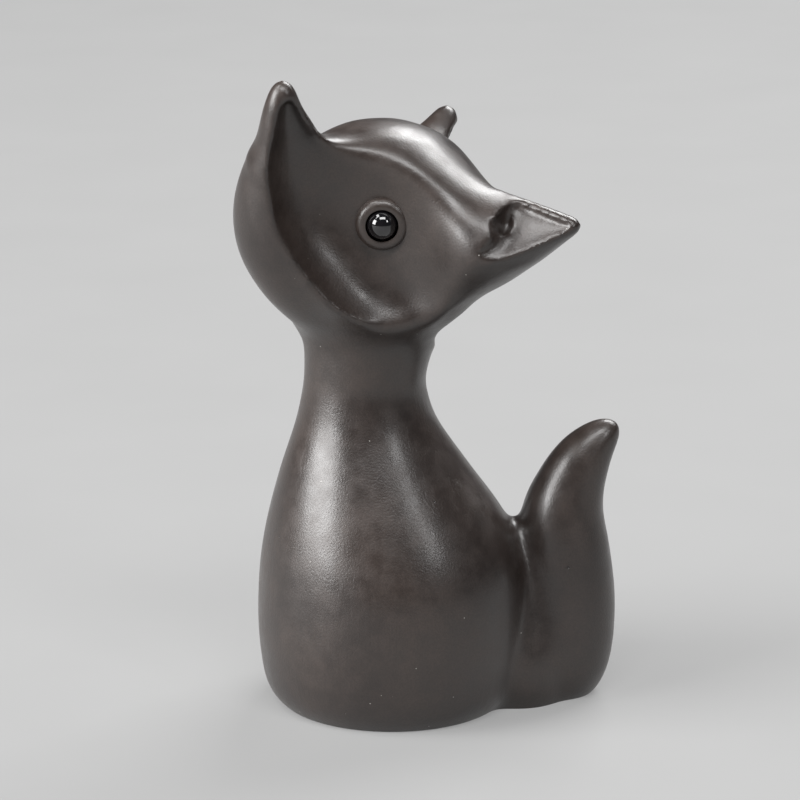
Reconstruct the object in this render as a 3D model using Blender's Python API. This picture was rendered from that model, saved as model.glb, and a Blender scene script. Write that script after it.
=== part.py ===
"""A tea pet: a small unglazed clay fox that sits up, looks past its flank and raises its tail.

The fox is one clay body with a black bead set in each eye. Units are metres, +Z is up and the
origin is on the table, under the middle of the round haunches. The tail stands at +X, the muzzle
turns from there towards -Y and the flank at -Y is the near one.
"""

import math

import bmesh
import bpy
from mathutils import Matrix, Vector

MM = 0.001

# Body and neck, as oval stations from the sole up:
# height, shift towards the tail, half length (X), half width (Y)
BODY_LINES = (
    (-2.0 * MM, 0.0 * MM, 12.6 * MM, 12.4 * MM),
    (0.0 * MM, 0.0 * MM, 15.8 * MM, 15.6 * MM),
    (2.5 * MM, 0.0 * MM, 17.6 * MM, 17.3 * MM),
    (7.0 * MM, 0.1 * MM, 18.5 * MM, 18.2 * MM),
    (12.6 * MM, 0.1 * MM, 18.8 * MM, 18.5 * MM),
    (20.0 * MM, 0.0 * MM, 18.3 * MM, 17.8 * MM),
    (26.3 * MM, -0.8 * MM, 16.4 * MM, 15.8 * MM),
    (33.1 * MM, -2.3 * MM, 13.1 * MM, 12.8 * MM),
    (40.0 * MM, -3.5 * MM, 9.7 * MM, 9.6 * MM),
    (45.5 * MM, -3.8 * MM, 8.3 * MM, 8.3 * MM),
)

# Head, in its own frame: +X forwards, +Z up, with the origin in its middle
HEAD_HEIGHT = 66.0 * MM
HEAD_SHIFT = -3.6 * MM
HEAD_TURN = math.radians(-30.0)
HEAD_TILT = math.radians(14.0)

# Head stations: height, shift forwards, half length, half width
HEAD_LINES = (
    (-15.6 * MM, 0.3 * MM, 8.7 * MM, 8.7 * MM),
    (-13.0 * MM, 0.3 * MM, 10.1 * MM, 10.4 * MM),
    (-10.0 * MM, 1.4 * MM, 12.7 * MM, 13.2 * MM),
    (-6.0 * MM, 2.1 * MM, 15.0 * MM, 15.8 * MM),
    (-2.0 * MM, 2.4 * MM, 16.3 * MM, 17.2 * MM),
    (2.0 * MM, 2.5 * MM, 16.4 * MM, 17.4 * MM),
    (6.0 * MM, 2.5 * MM, 15.3 * MM, 16.2 * MM),
    (9.5 * MM, 2.5 * MM, 13.0 * MM, 13.8 * MM),
    (12.7 * MM, 2.5 * MM, 9.6 * MM, 10.2 * MM),
    (15.0 * MM, 2.5 * MM, 5.6 * MM, 5.8 * MM),
    (16.0 * MM, 2.5 * MM, 1.0 * MM, 1.0 * MM),
)

# Muzzle stations: distance forwards, middle height, half height, half width
MUZZLE_LINES = (
    (7.0 * MM, -1.5 * MM, 10.0 * MM, 11.0 * MM),
    (12.3 * MM, 0.3 * MM, 11.6 * MM, 11.6 * MM),
    (16.7 * MM, 1.3 * MM, 8.7 * MM, 10.2 * MM),
    (19.6 * MM, 1.5 * MM, 6.9 * MM, 8.6 * MM),
    (22.5 * MM, 2.3 * MM, 5.5 * MM, 6.7 * MM),
    (25.7 * MM, 3.1 * MM, 4.1 * MM, 4.5 * MM),
    (29.0 * MM, 4.1 * MM, 2.4 * MM, 2.8 * MM),
    (31.2 * MM, 4.7 * MM, 1.3 * MM, 1.5 * MM),
    (32.2 * MM, 4.7 * MM, 0.5 * MM, 0.5 * MM),
)
MUZZLE_FACET = 0.4

# Scoop pared into each side of the muzzle: the ridge end and the cheek end of its root and its
# point at the tip, as forwards, outwards, up
PARING_RIDGE = (21.8 * MM, 1.2 * MM, 6.8 * MM)
PARING_CHEEK = (22.6 * MM, 7.2 * MM, -2.6 * MM)
PARING_CLEAR = 4.0 * MM
PARING_TIP = (31.0 * MM, 0.9 * MM, 4.4 * MM)
# Its stations: share of the way to the tip, share of the root's half height, depth
PARING_LINES = (
    (-0.05, 0.30, 0.05 * MM),
    (0.00, 0.64, 0.3 * MM),
    (0.08, 0.88, 0.65 * MM),
    (0.20, 0.84, 0.85 * MM),
    (0.45, 0.60, 0.7 * MM),
    (0.70, 0.34, 0.45 * MM),
    (0.90, 0.14, 0.25 * MM),
    (1.00, 0.06, 0.1 * MM),
)
# Pit where the tool stopped under the brow: share of the way down the root, then half sizes
PIT_SHARE = 0.30
PIT_HALF = (0.9 * MM, 2.0 * MM, 1.6 * MM)

# Ear stations, in the head's frame: forwards, outwards, up, radius
EAR_LINES = (
    (-2.6 * MM, 4.0 * MM, -8.6 * MM, 6.2 * MM),
    (-4.2 * MM, 7.6 * MM, -5.2 * MM, 7.0 * MM),
    (-5.3 * MM, 10.2 * MM, -1.4 * MM, 7.6 * MM),
    (-5.3 * MM, 12.5 * MM, 2.3 * MM, 7.4 * MM),
    (-4.5 * MM, 14.9 * MM, 6.0 * MM, 6.4 * MM),
    (-2.9 * MM, 18.1 * MM, 10.4 * MM, 4.7 * MM),
    (-2.4 * MM, 21.0 * MM, 14.4 * MM, 3.0 * MM),
    (-2.1 * MM, 22.2 * MM, 16.9 * MM, 2.2 * MM),
    (-1.9 * MM, 22.6 * MM, 18.4 * MM, 1.5 * MM),
    (-1.8 * MM, 22.7 * MM, 19.1 * MM, 0.6 * MM),
)
HORN_BASE = 8.0 * MM
BEAK_BASE = 19.0 * MM

# Cheek dish, which runs up into the ear. Its frame looks out of the cheek, from the head's middle:
# up, forwards, half width at the rim, depth under the rim, height of the rim
DISH_HEADING = math.radians(60.0)
DISH_DROOP = math.radians(10.0)
DISH_LINES = (
    (-11.6 * MM, 6.2 * MM, 1.2 * MM, 0.5 * MM, 13.0 * MM),
    (-10.7 * MM, 6.0 * MM, 4.2 * MM, 1.5 * MM, 13.0 * MM),
    (-8.6 * MM, 5.1 * MM, 6.8 * MM, 2.9 * MM, 13.1 * MM),
    (-6.0 * MM, 4.0 * MM, 8.7 * MM, 4.1 * MM, 13.3 * MM),
    (-1.9 * MM, 2.3 * MM, 10.1 * MM, 5.2 * MM, 13.5 * MM),
    (2.1 * MM, 1.0 * MM, 11.0 * MM, 5.6 * MM, 13.6 * MM),
    (5.3 * MM, 0.1 * MM, 11.0 * MM, 5.6 * MM, 13.7 * MM),
    (8.5 * MM, -0.9 * MM, 10.8 * MM, 5.1 * MM, 13.8 * MM),
    (11.5 * MM, -2.8 * MM, 9.3 * MM, 4.4 * MM, 14.2 * MM),
    (13.1 * MM, -5.7 * MM, 6.7 * MM, 3.8 * MM, 14.6 * MM),
    (14.3 * MM, -8.4 * MM, 4.2 * MM, 3.1 * MM, 15.0 * MM),
    (16.0 * MM, -10.4 * MM, 2.5 * MM, 2.4 * MM, 15.2 * MM),
    (18.4 * MM, -11.7 * MM, 1.5 * MM, 1.5 * MM, 15.2 * MM),
    (20.4 * MM, -12.6 * MM, 0.8 * MM, 0.8 * MM, 15.2 * MM),
)
DISH_LIFT = 0.5
DISH_LEAN = 0.25

# Where the dish's rim is soft, in the dish's frame: from, to
SOFT_FORWARD = (-7.0 * MM, -2.0 * MM)
SOFT_UP = (-7.0 * MM, -2.0 * MM)
SOFT_EAR = (12.5 * MM, 15.0 * MM)
SOFT_BEAK = (14.0 * MM, 17.0 * MM)

# Eyes, on the floor of the dish
EYE_UP = 3.5 * MM
EYE_FORWARD = 2.0 * MM
EYE_SEAT = 0.4 * MM
EYE_DROOP = math.radians(15.0)
LID_RADIUS = 2.5 * MM
LID_HALF = 0.8 * MM
LID_LIFT = 0.5 * MM
BEAD_RADIUS = 2.1 * MM
BEAD_LIFT = 1.0 * MM
BEAD_GAP = 0.3 * MM

# Tail stations: distance from the body's axis, height, radius
TAIL_LINES = (
    (22.4 * MM, -2.0 * MM, 2.8 * MM),
    (22.6 * MM, 0.0 * MM, 4.9 * MM),
    (23.1 * MM, 2.4 * MM, 6.3 * MM),
    (23.9 * MM, 6.5 * MM, 7.0 * MM),
    (24.3 * MM, 13.0 * MM, 7.0 * MM),
    (24.0 * MM, 19.5 * MM, 6.6 * MM),
    (23.7 * MM, 25.6 * MM, 5.9 * MM),
    (24.8 * MM, 30.2 * MM, 4.9 * MM),
    (26.5 * MM, 33.8 * MM, 4.1 * MM),
    (28.3 * MM, 36.2 * MM, 3.2 * MM),
    (30.0 * MM, 37.8 * MM, 2.3 * MM),
    (31.1 * MM, 38.7 * MM, 1.4 * MM),
    (31.5 * MM, 39.1 * MM, 0.6 * MM),
)
TAIL_TURN = math.radians(4.0)

# Web of clay that fills the crease between tail and body lower down:
# height, half length, half width
WEB_DISTANCE = 17.4 * MM
WEB_LINES = (
    (-2.0 * MM, 6.5 * MM, 6.9 * MM),
    (0.0 * MM, 7.5 * MM, 7.9 * MM),
    (2.5 * MM, 8.0 * MM, 8.9 * MM),
    (7.0 * MM, 8.0 * MM, 8.9 * MM),
    (13.0 * MM, 7.5 * MM, 7.8 * MM),
    (18.0 * MM, 6.5 * MM, 6.4 * MM),
    (22.0 * MM, 5.0 * MM, 4.8 * MM),
    (24.5 * MM, 2.5 * MM, 2.4 * MM),
)

# Hollow of the body and its vent in the sole
WALL = 4.5 * MM
HOLLOW_TOP = 38.0 * MM
VENT_RADIUS = 1.6 * MM
VENT_SHIFT = 8.0 * MM

# Surface: grain of the skin, crease filling, and lengths over which each stage is softened
GRAIN = 0.45 * MM
CREASE_FILL = 5.0 * MM
HEAD_SOFTNESS = 4.6 * MM
BODY_SOFTNESS = 2.7 * MM
FACE_SOFTNESS = 1.3 * MM
RIM_SOFTNESS = 4.5 * MM
LAST_SOFTNESS = 0.8 * MM
RING_POINTS = 48
RING_STEPS = 5
CLAY_FACETS = 11400


def clear_scene():
    for thing in list(bpy.data.objects):
        bpy.data.objects.remove(thing)


def smooth_stations(stations, steps=RING_STEPS):
    """Stations joined by a Catmull-Rom curve, which passes through every one of them."""
    points = []
    for station in stations:
        points.append([*station])
    first = [2 * a - b for a, b in zip(points[0], points[1])]
    last = [2 * a - b for a, b in zip(points[-1], points[-2])]
    ends = [first, *points, last]
    line = []
    for before, start, finish, after in zip(ends, ends[1:], ends[2:], ends[3:]):
        for step in range(steps):
            t = step / steps
            row = []
            for a, b, c, d in zip(before, start, finish, after):
                bend = 2 * a - 5 * b + 4 * c - d
                twist = 3 * b - a - 3 * c + d
                row.append(0.5 * (2 * b + (c - a) * t + bend * t**2 + twist * t**3))
            line.append(row)
    line.append(points[-1])
    return line


def ring_angles():
    return [2 * math.pi * index / RING_POINTS for index in range(RING_POINTS)]


def skin_rings(mesh, rings):
    """Joins closed rings of points, given in order along a form, into one closed shell."""
    shell = bmesh.new()
    loops = [[shell.verts.new(point) for point in ring] for ring in rings]
    for low, high in zip(loops, loops[1:]):
        for index in range(len(low)):
            after = (index + 1) % len(low)
            shell.faces.new((low[index], low[after], high[after], high[index]))
    shell.faces.new(list(reversed(loops[0])))
    shell.faces.new(loops[-1])
    bmesh.ops.recalc_face_normals(shell, faces=shell.faces)
    if shell.calc_volume(signed=True) < 0:
        bmesh.ops.reverse_faces(shell, faces=shell.faces)
    piece = bpy.data.meshes.new("ring_shell")
    shell.to_mesh(piece)
    shell.free()
    mesh.from_mesh(piece)
    bpy.data.meshes.remove(piece)


def head_matrix():
    middle = Matrix.Translation((HEAD_SHIFT, 0.0, HEAD_HEIGHT))
    turn = Matrix.Rotation(HEAD_TURN, 4, "Z")
    tilt = Matrix.Rotation(-HEAD_TILT, 4, "X")
    return middle @ turn @ tilt


def body_rings():
    rings = []
    for height, shift, length, width in smooth_stations(BODY_LINES):
        ring = []
        for angle in ring_angles():
            across = width * math.sin(angle)
            ring.append(Vector((shift + length * math.cos(angle), across, height)))
        rings.append(ring)
    return rings


def head_rings():
    """Ovals of the head. Under its middle they swing back over the neck, which stands upright."""
    place = head_matrix()
    foot = -HEAD_LINES[0][0]
    rings = []
    for height, shift, length, width in smooth_stations(HEAD_LINES):
        swing = math.tan(HEAD_TILT) * min(height, 0.0) ** 2 / foot
        ring = []
        for angle in ring_angles():
            along = shift + length * math.cos(angle - HEAD_TURN)
            across = swing + width * math.sin(angle - HEAD_TURN)
            ring.append(place @ Vector((along, across, height)))
        rings.append(ring)
    return rings


def muzzle_rings(base=-1.0):
    """Three-sided sections with round corners, set with one corner up as the muzzle's ridge.

    Only those further forwards than base are made.
    """
    place = head_matrix()
    third = 2 * math.pi / 3
    outline = []
    for angle in ring_angles():
        flat = 0.5 / math.cos(angle % third - third / 2)
        reach = MUZZLE_FACET * flat + 1 - MUZZLE_FACET
        outline.append((reach * math.sin(angle), reach * math.cos(angle)))
    widest = max(side for side, up in outline)
    lowest = min(up for side, up in outline)
    rings = []
    for forward, middle, tall, wide in smooth_stations(MUZZLE_LINES):
        if forward < base:
            continue
        ring = []
        for side, up in outline:
            level = (2 * up - 1 - lowest) / (1 - lowest)
            ring.append(place @ Vector((forward, wide * side / widest, middle + tall * level)))
        rings.append(ring)
    return rings


def swept_rings(line):
    """Round sections, each square to a line of points that carry a radius."""
    rings = []
    for index, (point, radius) in enumerate(line):
        before = line[max(index - 1, 0)][0]
        after = line[min(index + 1, len(line) - 1)][0]
        heading = (after - before).normalized()
        across = heading.cross(Vector((0.0, 1.0, 0.0))).normalized()
        other = heading.cross(across)
        ring = []
        for angle in ring_angles():
            offset = across * math.cos(angle) + other * math.sin(angle)
            ring.append(point + radius * offset)
        rings.append(ring)
    return rings


def tail_heading():
    return Vector((math.cos(TAIL_TURN), math.sin(TAIL_TURN), 0.0))


def tail_rings():
    line = []
    for distance, height, radius in smooth_stations(TAIL_LINES):
        line.append((distance * tail_heading() + Vector((0.0, 0.0, height)), radius))
    return swept_rings(line)


def web_rings():
    along = tail_heading()
    across = Vector((-along.y, along.x, 0.0))
    rings = []
    for height, length, width in smooth_stations(WEB_LINES):
        middle = WEB_DISTANCE * along + Vector((0.0, 0.0, height))
        ring = []
        for angle in ring_angles():
            offset = length * math.cos(angle) * along + width * math.sin(angle) * across
            ring.append(middle + offset)
        rings.append(ring)
    return rings


def ear_rings(side, base=-1.0):
    """One ear with its root down the back of the head, from the height base up.

    side is -1 for the near ear and 1 for the far one.
    """
    line = []
    for forward, out, up, radius in smooth_stations(EAR_LINES):
        if up >= base:
            line.append((head_matrix() @ Vector((forward, side * out, up)), radius))
    return swept_rings(line)


def outlook(side, heading, droop):
    """Forward, up and outward directions of a frame that looks out of a cheek."""
    flat = math.cos(droop)
    out = Vector((flat * math.cos(heading), side * flat * math.sin(heading), -math.sin(droop)))
    up = (Vector((0.0, 0.0, 1.0)) + math.sin(droop) * out).normalized()
    return -side * up.cross(out), up, out


def dish_rings(side):
    forward, up, out = outlook(side, DISH_HEADING, DISH_DROOP)
    place = head_matrix()
    spread = math.sqrt(1 - DISH_LIFT**2)
    rings = []
    for level, middle, half, depth, rim in smooth_stations(DISH_LINES):
        reach = depth / (1 - DISH_LIFT)
        ring = []
        for angle in ring_angles():
            lean = DISH_LEAN * min(math.sin(angle), 0.0)
            along = middle + half * (math.cos(angle) / spread + lean)
            away = rim + reach - depth + reach * math.sin(angle)
            ring.append(place @ (forward * along + up * level + out * away))
        rings.append(ring)
    return rings


def paring_frame(side):
    """The root's ridge end, its cheek end, the tip, and the outward direction of the scoop."""
    corners = []
    for forward, out, up in (PARING_RIDGE, PARING_CHEEK, PARING_TIP):
        corners.append(Vector((forward, side * out, up)))
    ridge, cheek, tip = corners
    facing = side * (cheek - ridge).cross(ridge - tip).normalized()
    return ridge, cheek, tip, facing


def paring_rings(side):
    ridge, cheek, tip, facing = paring_frame(side)
    place = head_matrix()
    middle = (ridge + cheek) / 2
    height = (ridge - cheek) / 2
    rings = []
    for way, share, depth in smooth_stations(PARING_LINES):
        centre = middle + way * (tip - middle)
        ring = []
        for angle in ring_angles():
            rise = math.sin(angle)
            away = rise * (depth if rise < 0 else PARING_CLEAR)
            ring.append(place @ (centre + share * math.cos(angle) * height + away * facing))
        rings.append(ring)
    return rings


def pit_matrix(side):
    ridge, cheek, tip, facing = paring_frame(side)
    height = (ridge - cheek).normalized()
    turn = Matrix((height.cross(facing), height, facing)).transposed().to_4x4()
    spot = ridge + PIT_SHARE * (cheek - ridge)
    return head_matrix() @ Matrix.Translation(spot) @ turn


def dish_floor():
    """Height of the dish's floor at the eye, over the head's middle."""
    for row in smooth_stations(DISH_LINES, 20):
        if row[0] >= EYE_UP:
            return row[4] - row[3] + EYE_SEAT
    return 0.0


def eye_matrix(side, lift):
    """A frame whose Z looks out of an eye, with its origin lift above the dish's floor."""
    forward, up, out = outlook(side, DISH_HEADING, DISH_DROOP)
    floor = forward * EYE_FORWARD + up * EYE_UP + out * dish_floor()
    axis = outlook(side, DISH_HEADING, EYE_DROOP)[2]
    turn = axis.to_track_quat("Z", "X").to_matrix().to_4x4()
    return head_matrix() @ Matrix.Translation(floor + lift * axis) @ turn


def hollow_rings():
    """The inner face of the body's wall, from above the sole to the foot of the neck."""
    rings = []
    for height, shift, length, width in smooth_stations(BODY_LINES):
        if WALL <= height <= HOLLOW_TOP:
            ring = []
            for angle in ring_angles():
                along = shift + (length - WALL) * math.cos(angle)
                across = (width - WALL) * math.sin(angle)
                ring.append(Vector((along, across, height)))
            rings.append(ring)
    return rings


def new_object(name, mesh):
    data = bpy.data.meshes.new(name)
    mesh.to_mesh(data)
    mesh.free()
    thing = bpy.data.objects.new(name, data)
    bpy.context.scene.collection.objects.link(thing)
    return thing


def ring_object(name, groups):
    mesh = bmesh.new()
    for rings in groups:
        skin_rings(mesh, rings)
    return new_object(name, mesh)


def add_ball(mesh, place, half, segments=32):
    """A ball or flattened ball, worked straight into the mesh at its place."""
    shape = place @ Matrix.Diagonal((*half, 1.0))
    bmesh.ops.create_uvsphere(
        mesh, u_segments=segments, v_segments=segments // 2, radius=1.0, matrix=shape
    )


def ball_object(name, place, half, segments=32):
    mesh = bmesh.new()
    add_ball(mesh, place, half, segments)
    return new_object(name, mesh)


def lid_object(name, side):
    """The raised ring of clay round a bead: a circle spun about the eye's axis."""
    mesh = bmesh.new()
    stand = Matrix.Translation((LID_RADIUS, 0.0, 0.0)) @ Matrix.Rotation(math.pi / 2, 4, "X")
    bmesh.ops.create_circle(mesh, segments=12, radius=LID_HALF, matrix=stand)
    bmesh.ops.spin(
        mesh,
        geom=mesh.verts[:] + mesh.edges[:],
        axis=(0.0, 0.0, 1.0),
        cent=(0.0, 0.0, 0.0),
        angle=2 * math.pi,
        steps=36,
        use_merge=True,
    )
    bmesh.ops.recalc_face_normals(mesh, faces=mesh.faces)
    if mesh.calc_volume(signed=True) < 0:
        bmesh.ops.reverse_faces(mesh, faces=mesh.faces)
    bmesh.ops.transform(mesh, matrix=eye_matrix(side, LID_LIFT), verts=mesh.verts)
    return new_object(name, mesh)


def settle(thing):
    """Keeps what the modifiers make as the object's own mesh."""
    graph = bpy.context.evaluated_depsgraph_get()
    mesh = bpy.data.meshes.new_from_object(thing.evaluated_get(graph), depsgraph=graph)
    old = thing.data
    thing.modifiers.clear()
    thing.data = mesh
    bpy.data.meshes.remove(old)
    return thing


def soften(thing, reach, group=""):
    step = thing.modifiers.new("soften", "SMOOTH")
    step.factor = 0.5
    step.iterations = max(1, round((reach / GRAIN) ** 2))
    step.vertex_group = group


def melt(thing, reach):
    """One skin over all that the object holds, softened over a length."""
    skin = thing.modifiers.new("skin", "REMESH")
    skin.mode = "VOXEL"
    skin.voxel_size = GRAIN
    soften(thing, reach)


def fill_creases(thing, radius):
    """Rounds out the creases: the skin grows by the radius and shrinks back."""
    for growth in (radius, -radius):
        swell = thing.modifiers.new("swell", "DISPLACE")
        swell.mid_level = 0.0
        swell.strength = growth
        melt(thing, GRAIN)


def combine(thing, tool, operation):
    """Cuts or joins the tool, which is then no longer needed."""
    step = thing.modifiers.new("combine", "BOOLEAN")
    step.object = tool
    step.operation = operation
    step.solver = "EXACT"
    settle(thing)
    bpy.data.objects.remove(tool)


def fade(value, start, finish):
    share = min(max((value - start) / (finish - start), 0.0), 1.0)
    return share * share * (3 - 2 * share)


def soften_rims(thing):
    """Rounds the rim of each dish in front and over the brow. The rest of it stays crisp."""
    inwards = head_matrix().inverted()
    group = thing.vertex_groups.new(name="soft_rim")
    frames = [(side, outlook(side, DISH_HEADING, DISH_DROOP)) for side in (-1, 1)]
    for vertex in thing.data.vertices:
        place = inwards @ vertex.co
        for side, (forward, up, out) in frames:
            if place.y * side <= 0 or place.dot(out) < 0:
                continue
            along, level = place.dot(forward), place.dot(up)
            share = fade(along, *SOFT_FORWARD) * fade(level, *SOFT_UP)
            share *= (1 - fade(level, *SOFT_EAR)) * (1 - fade(along, *SOFT_BEAK))
            if share > 0:
                group.add((vertex.index,), share, "REPLACE")
    soften(thing, RIM_SOFTNESS, "soft_rim")
    settle(thing)
    thing.vertex_groups.clear()


def cut_sole(thing):
    """Cuts the foot flat where it stands on the table."""
    floor = bmesh.new()
    bmesh.ops.create_cube(floor, size=2 * HEAD_HEIGHT)
    bmesh.ops.translate(floor, vec=(0.0, 0.0, -HEAD_HEIGHT), verts=floor.verts)
    combine(thing, new_object("floor_tool", floor), "DIFFERENCE")


def vent_object():
    vent = bmesh.new()
    bmesh.ops.create_cone(
        vent,
        segments=24,
        radius1=VENT_RADIUS,
        radius2=VENT_RADIUS,
        depth=4 * WALL,
        cap_ends=True,
        matrix=Matrix.Translation((-VENT_SHIFT, 0.0, 0.0)),
    )
    return new_object("vent_tool", vent)


def thin_out(thing):
    """Keeps fewer facets. Collapsing compares tiny errors, so it is done in millimetres."""
    thing.data.transform(Matrix.Scale(1 / MM, 4))
    thing.data.calc_loop_triangles()
    thin = thing.modifiers.new("thin_out", "DECIMATE")
    thin.ratio = CLAY_FACETS / len(thing.data.loop_triangles)
    settle(thing)
    thing.data.transform(Matrix.Scale(MM, 4))


def plain_material(name, colour, roughness):
    material = bpy.data.materials.new(name)
    material.use_nodes = True
    shader = material.node_tree.nodes["Principled BSDF"]
    shader.inputs["Base Color"].default_value = (*colour, 1.0)
    shader.inputs["Roughness"].default_value = roughness
    return material


def make_head():
    """The ball of the head with the roots of ears and muzzle, melted together."""
    groups = (head_rings(), muzzle_rings(), ear_rings(-1), ear_rings(1))
    head = ring_object("head_tool", groups)
    melt(head, GRAIN)
    fill_creases(head, CREASE_FILL)
    soften(head, HEAD_SOFTNESS)
    return settle(head)


def make_body():
    groups = (body_rings() + head_rings(), tail_rings(), web_rings())
    body = ring_object("clay_body", groups)
    melt(body, BODY_SOFTNESS)
    settle(body)
    combine(body, make_head(), "UNION")
    combine(body, ring_object("beak_tool", (muzzle_rings(BEAK_BASE),)), "UNION")
    horns = (ear_rings(-1, HORN_BASE), ear_rings(1, HORN_BASE))
    combine(body, ring_object("horn_tool", horns), "UNION")
    melt(body, FACE_SOFTNESS)
    settle(body)
    combine(body, ring_object("dish_tool", (dish_rings(-1), dish_rings(1))), "DIFFERENCE")
    melt(body, GRAIN)
    settle(body)
    soften_rims(body)
    for side in (-1, 1):
        combine(body, ring_object("paring_tool", (paring_rings(side),)), "DIFFERENCE")
        combine(body, ball_object("pit_tool", pit_matrix(side), PIT_HALF), "DIFFERENCE")
    melt(body, LAST_SOFTNESS)
    settle(body)
    cut_sole(body)
    for side in (-1, 1):
        combine(body, lid_object("lid_tool", side), "UNION")
        half = (BEAD_RADIUS + BEAD_GAP,) * 3
        combine(body, ball_object("socket_tool", eye_matrix(side, BEAD_LIFT), half), "DIFFERENCE")
    combine(body, ring_object("hollow_tool", (hollow_rings(),)), "DIFFERENCE")
    combine(body, vent_object(), "DIFFERENCE")
    thin_out(body)
    body.data.materials.clear()
    body.data.materials.append(plain_material("clay", (0.060, 0.047, 0.042), 0.42))
    return body


def main():
    clear_scene()
    make_body()
    black = plain_material("black_bead", (0.006, 0.006, 0.007), 0.05)
    for side, word in ((-1, "near"), (1, "far")):
        place = eye_matrix(side, BEAD_LIFT)
        bead = ball_object(f"{word}_eye_bead", place, (BEAD_RADIUS,) * 3, 28)
        bead.data.materials.append(black)


main()
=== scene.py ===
"""Looks of the fox tea pet: one clay skin, finer than the solid that it stands for, and two beads.

Lengths are in metres, in the frame's own axes: +Z up, the tail at +X and the near flank at -Y.
"""

import bisect
import math

import bmesh
import bpy
from mathutils import Matrix, Vector


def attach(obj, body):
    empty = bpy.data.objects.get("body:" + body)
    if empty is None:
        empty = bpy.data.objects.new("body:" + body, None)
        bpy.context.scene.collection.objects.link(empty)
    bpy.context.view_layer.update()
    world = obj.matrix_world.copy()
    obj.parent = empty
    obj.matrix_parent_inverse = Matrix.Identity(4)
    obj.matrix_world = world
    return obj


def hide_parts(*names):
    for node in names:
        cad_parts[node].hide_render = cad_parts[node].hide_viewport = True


MM = 0.001

# Sides of the head, as the sign of their direction out of it
NEAR, FAR = -1, 1
SIDES = (NEAR, FAR)

# Body and neck, as oval stations from the sole up:
# height, shift towards the tail, half length (X), half width (Y)
BODY_LINES = (
    (-2.0 * MM, 0.0 * MM, 12.6 * MM, 12.4 * MM),
    (0.0 * MM, 0.0 * MM, 15.8 * MM, 15.6 * MM),
    (2.5 * MM, 0.0 * MM, 17.6 * MM, 17.3 * MM),
    (7.0 * MM, 0.1 * MM, 18.5 * MM, 18.2 * MM),
    (12.6 * MM, 0.1 * MM, 18.8 * MM, 18.5 * MM),
    (20.0 * MM, 0.0 * MM, 18.3 * MM, 17.8 * MM),
    (26.3 * MM, -0.8 * MM, 16.4 * MM, 15.8 * MM),
    (33.1 * MM, -2.3 * MM, 13.1 * MM, 12.8 * MM),
    (40.0 * MM, -3.5 * MM, 9.7 * MM, 9.6 * MM),
    (45.5 * MM, -3.8 * MM, 8.3 * MM, 8.3 * MM),
)

# Head, in its own frame: +X forwards, +Z up, with the origin in its middle. It turns from the
# tail's direction towards the near side, and tilts to set the near ear higher.
HEAD_HEIGHT = 66.0 * MM
HEAD_SHIFT = -3.6 * MM
HEAD_TURN = math.radians(-30.0)
HEAD_TILT = math.radians(14.0)

# Head stations: height, shift forwards, half length, half width
HEAD_LINES = (
    (-15.6 * MM, 0.3 * MM, 8.7 * MM, 8.7 * MM),
    (-13.0 * MM, 0.3 * MM, 10.1 * MM, 10.4 * MM),
    (-10.0 * MM, 1.4 * MM, 12.7 * MM, 13.2 * MM),
    (-6.0 * MM, 2.1 * MM, 15.0 * MM, 15.8 * MM),
    (-2.0 * MM, 2.4 * MM, 16.3 * MM, 17.2 * MM),
    (2.0 * MM, 2.5 * MM, 16.4 * MM, 17.4 * MM),
    (6.0 * MM, 2.5 * MM, 15.3 * MM, 16.2 * MM),
    (9.5 * MM, 2.5 * MM, 13.0 * MM, 13.8 * MM),
    (12.7 * MM, 2.5 * MM, 9.6 * MM, 10.2 * MM),
    (15.0 * MM, 2.5 * MM, 5.6 * MM, 5.8 * MM),
    (16.0 * MM, 2.5 * MM, 1.0 * MM, 1.0 * MM),
)

# Muzzle stations: distance forwards, middle height, half height, half width
MUZZLE_LINES = (
    (7.0 * MM, -1.5 * MM, 10.0 * MM, 11.0 * MM),
    (12.3 * MM, 0.3 * MM, 11.6 * MM, 11.6 * MM),
    (16.7 * MM, 1.3 * MM, 8.7 * MM, 10.2 * MM),
    (19.6 * MM, 1.5 * MM, 6.9 * MM, 8.6 * MM),
    (22.5 * MM, 2.3 * MM, 5.5 * MM, 6.7 * MM),
    (25.7 * MM, 3.1 * MM, 4.1 * MM, 4.5 * MM),
    (29.0 * MM, 4.1 * MM, 2.4 * MM, 2.8 * MM),
    (31.2 * MM, 4.7 * MM, 1.3 * MM, 1.5 * MM),
    (32.2 * MM, 4.7 * MM, 0.5 * MM, 0.5 * MM),
)
# How three-sided its sections are: 0 is round, 1 has flat sides
MUZZLE_FACET = 0.4

# Scoop pared into each side of the muzzle, in the head's frame: the ridge end and the cheek end
# of its root, and its point at the tip, as forwards, outwards, up
PARING_RIDGE = (21.8 * MM, 1.2 * MM, 6.8 * MM)
PARING_CHEEK = (21.6 * MM, 8.3 * MM, -3.8 * MM)
PARING_TIP = (31.0 * MM, 0.9 * MM, 4.4 * MM)
# How far the middle of the root bows towards the tip, and how far the cutter stands out
PARING_BOW = 1.4 * MM
PARING_CLEAR = 4.0 * MM
# Its stations: share of the way to the tip, share of the root's half height, depth
PARING_LINES = (
    (-0.05, 0.34, 0.05 * MM),
    (0.00, 0.68, 0.3 * MM),
    (0.08, 0.88, 0.65 * MM),
    (0.20, 0.84, 0.85 * MM),
    (0.45, 0.60, 0.7 * MM),
    (0.70, 0.34, 0.45 * MM),
    (0.90, 0.14, 0.25 * MM),
    (1.00, 0.06, 0.1 * MM),
)
# Pit where the tool stopped under the brow: share of the way down the root, distance towards the
# tip, and half sizes along the muzzle, along the root and outwards
PIT_SHARE = 0.30
PIT_FORWARD = 0.9 * MM
PIT_HALF = (0.8 * MM, 1.9 * MM, 1.5 * MM)

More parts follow.
